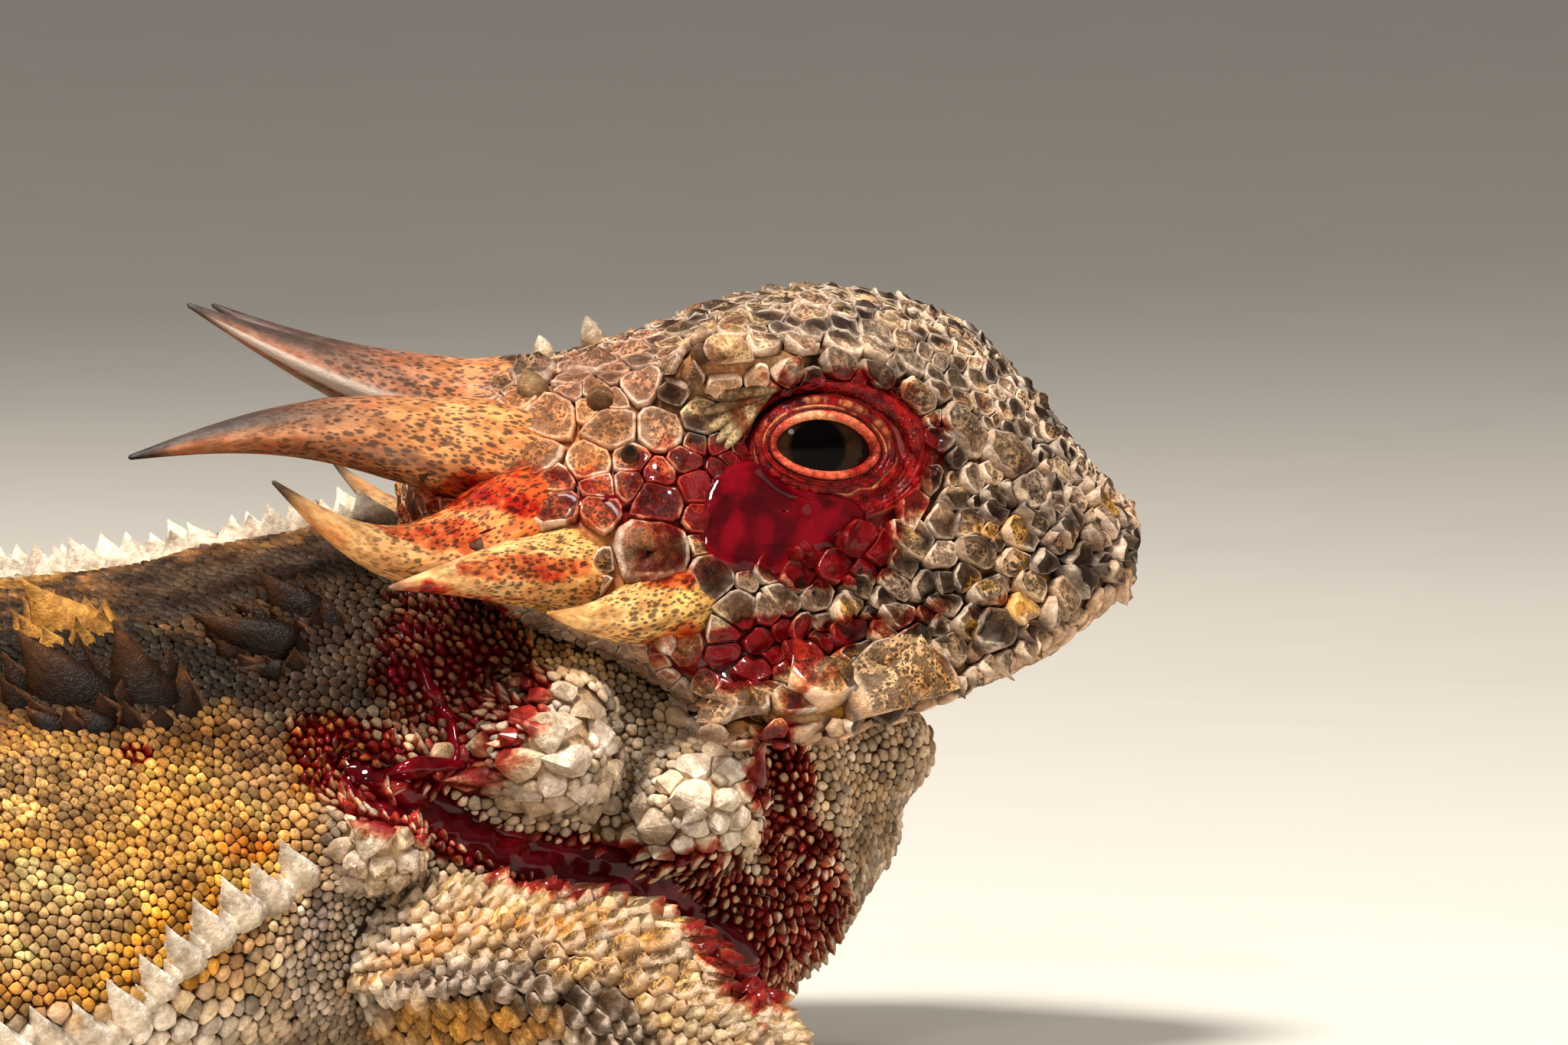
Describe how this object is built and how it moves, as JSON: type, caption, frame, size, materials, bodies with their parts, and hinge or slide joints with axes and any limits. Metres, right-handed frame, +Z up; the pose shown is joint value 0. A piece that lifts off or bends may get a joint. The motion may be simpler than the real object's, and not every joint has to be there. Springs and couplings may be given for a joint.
{
  "type": "horned lizard model",
  "caption": "Still life-size horned lizard resting on its belly, head raised, with a crown of horns, spiny back, fringed flanks, spread limbs and a short tapering tail.",
  "frame": {"origin": "middle of the model's box at floor level", "axes": "+X towards the snout, +Y to the animal's left, +Z up"},
  "size_m": [0.1368, 0.081, 0.0258],
  "materials": {
    "lizard_skin": "dry scaled skin",
    "horn_keratin": "satin keratin",
    "eye_cornea": "wet gloss"
  },
  "bodies": {
    "root": {"head": "lizard_skin", "jaw": "lizard_skin", "neck": "lizard_skin", "trunk": "lizard_skin", "tail_base": "lizard_skin", "tail_tip": "lizard_skin", "upper_arm_right": "lizard_skin", "upper_arm_left": "lizard_skin", "forearm_right": "lizard_skin", "forearm_left": "lizard_skin", "hand_right": "lizard_skin", "hand_left": "lizard_skin", "thigh_right": "lizard_skin", "thigh_left": "lizard_skin", "shank_right": "lizard_skin", "shank_left": "lizard_skin", "foot_right": "lizard_skin", "foot_left": "lizard_skin", "horn_occipital_inner_right": "horn_keratin", "horn_occipital_inner_left": "horn_keratin", "horn_occipital_outer_right": "horn_keratin", "horn_occipital_outer_left": "horn_keratin", "horn_temporal_upper_right": "horn_keratin", "horn_temporal_upper_left": "horn_keratin", "horn_temporal_middle_right": "horn_keratin", "horn_temporal_middle_left": "horn_keratin", "horn_temporal_lower_right": "horn_keratin", "horn_temporal_lower_left": "horn_keratin", "eye_right": "eye_cornea", "eye_left": "eye_cornea"}
  },
  "joints": []
}
